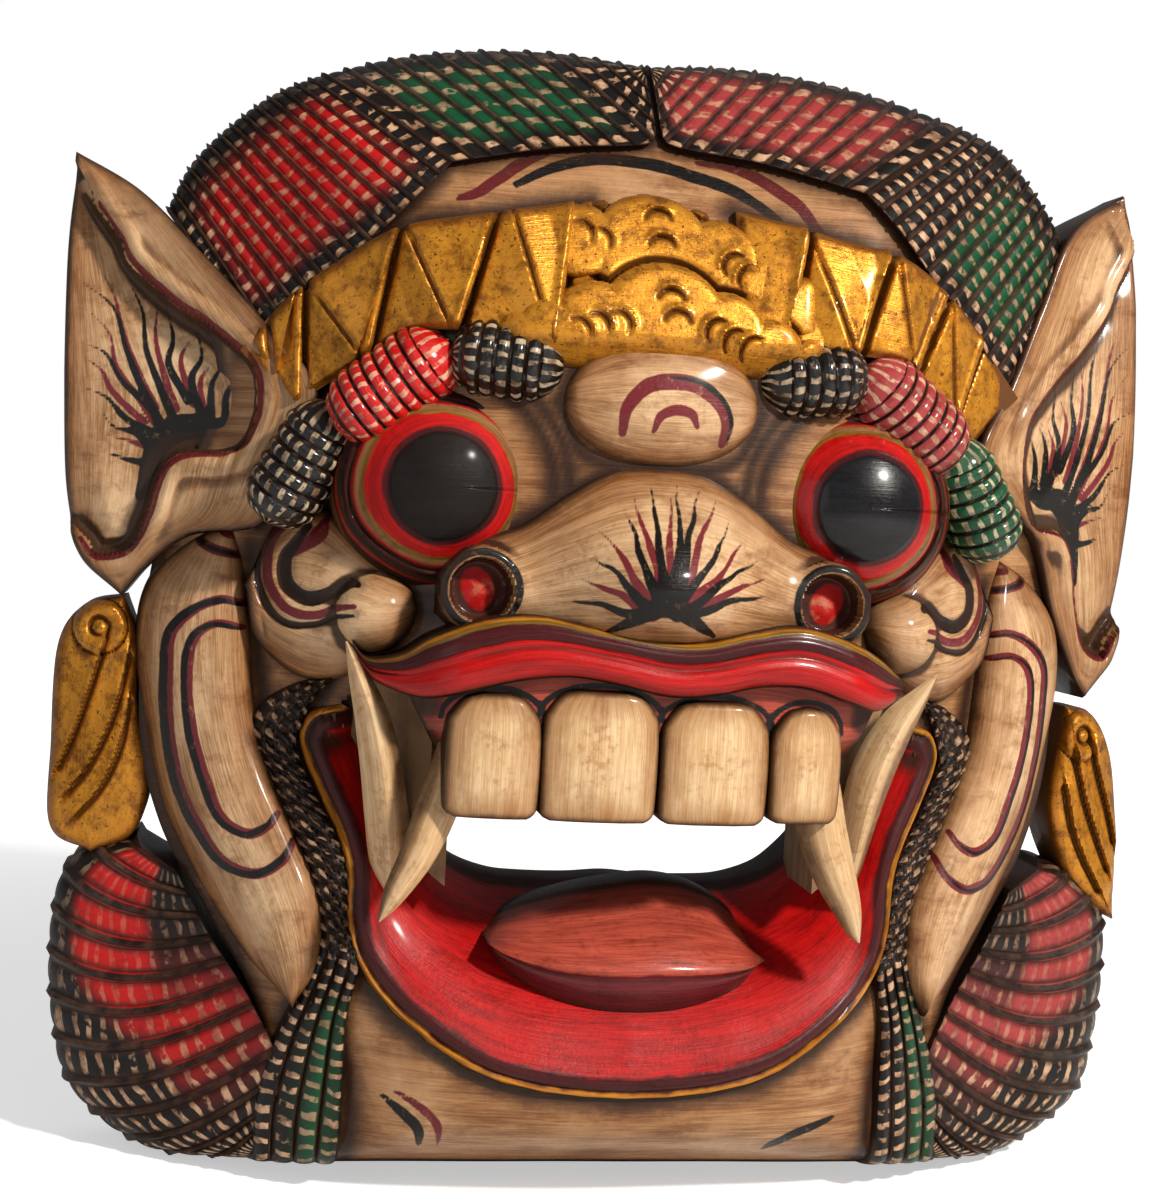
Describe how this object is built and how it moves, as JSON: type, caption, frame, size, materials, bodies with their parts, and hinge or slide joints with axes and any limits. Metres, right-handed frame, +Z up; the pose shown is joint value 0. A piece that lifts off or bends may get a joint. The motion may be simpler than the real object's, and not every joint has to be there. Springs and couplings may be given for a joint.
{
  "type": "carved wooden wall mask",
  "caption": "Carved and painted wooden wall mask with bulging eyes, fangs, tusks, tongue, gold crown, ridged hair, pointed ears, and a hinged hanging ring at the back.",
  "frame": {"origin": "middle of the flat back plane, level with the middle of the face", "axes": "+Y out of the back towards the wall, -Y towards the viewer, +Z up, +X to the viewer's right"},
  "size_m": [0.401, 0.1408, 0.3891],
  "materials": {
    "skin_paint": "cream paint dry-brushed along the carving, dark wax in the recesses, satin varnish",
    "hair_paint": "black-brown paint on cut ridges with rows of red, green and cream dashes, varnished",
    "gold_paint": "worn gold paint over dark brown, glossy",
    "brow_paint": "glossy black paint on cut ridges with cream, red and green dashes",
    "eye_paint": "glossy painted rings of red, ochre and cream round a dark pupil",
    "lip_paint": "glossy bright red paint edged with dark red and a gold line",
    "gum_paint": "salmon paint with dark brown edges, satin varnish",
    "tooth_paint": "cream paint with upright brush strokes and brown edges, satin varnish",
    "tongue_paint": "salmon red paint, satin varnish",
    "hanger_steel": "zinc-plated steel"
  },
  "bodies": {
    "mask": {"face_block": "skin_paint", "hair_far_left": "hair_paint", "hair_left": "hair_paint", "hair_right": "hair_paint", "hair_far_right": "hair_paint", "crown_left": "gold_paint", "crown_crest": "gold_paint", "crown_right": "gold_paint", "forehead_boss": "skin_paint", "brow_curl_outer_left": "brow_paint", "brow_curl_middle_left": "brow_paint", "brow_curl_inner_left": "brow_paint", "brow_curl_inner_right": "brow_paint", "brow_curl_middle_right": "brow_paint", "brow_curl_outer_right": "brow_paint", "eye_left": "eye_paint", "eye_right": "eye_paint", "nose": "skin_paint", "upper_lip": "lip_paint", "upper_jaw": "gum_paint", "tooth_far_left": "tooth_paint", "tooth_left": "tooth_paint", "tooth_right": "tooth_paint", "tooth_far_right": "tooth_paint", "fang_left": "tooth_paint", "fang_right": "tooth_paint", "tusk_left": "tooth_paint", "tusk_right": "tooth_paint", "tongue": "tongue_paint", "lower_jaw": "lip_paint", "cheek_left": "skin_paint", "cheek_right": "skin_paint", "jowl_left": "skin_paint", "jowl_right": "skin_paint", "side_lock_left": "hair_paint", "side_lock_right": "hair_paint", "lower_curl_left": "hair_paint", "lower_curl_right": "hair_paint", "ear_left": "skin_paint", "ear_right": "skin_paint", "earring_left": "gold_paint", "earring_right": "gold_paint", "hanger_plate": "hanger_steel", "hanger_screws": "hanger_steel"},
    "ring": {"hanger_ring": "hanger_steel"}
  },
  "joints": [
    {"name": "ring_swing", "type": "hinge", "parent": "mask", "child": "ring", "pos_m": [0, -0.0052, 0.152], "axis": [1, 0, 0], "range_deg": [0, 175]}
  ]
}
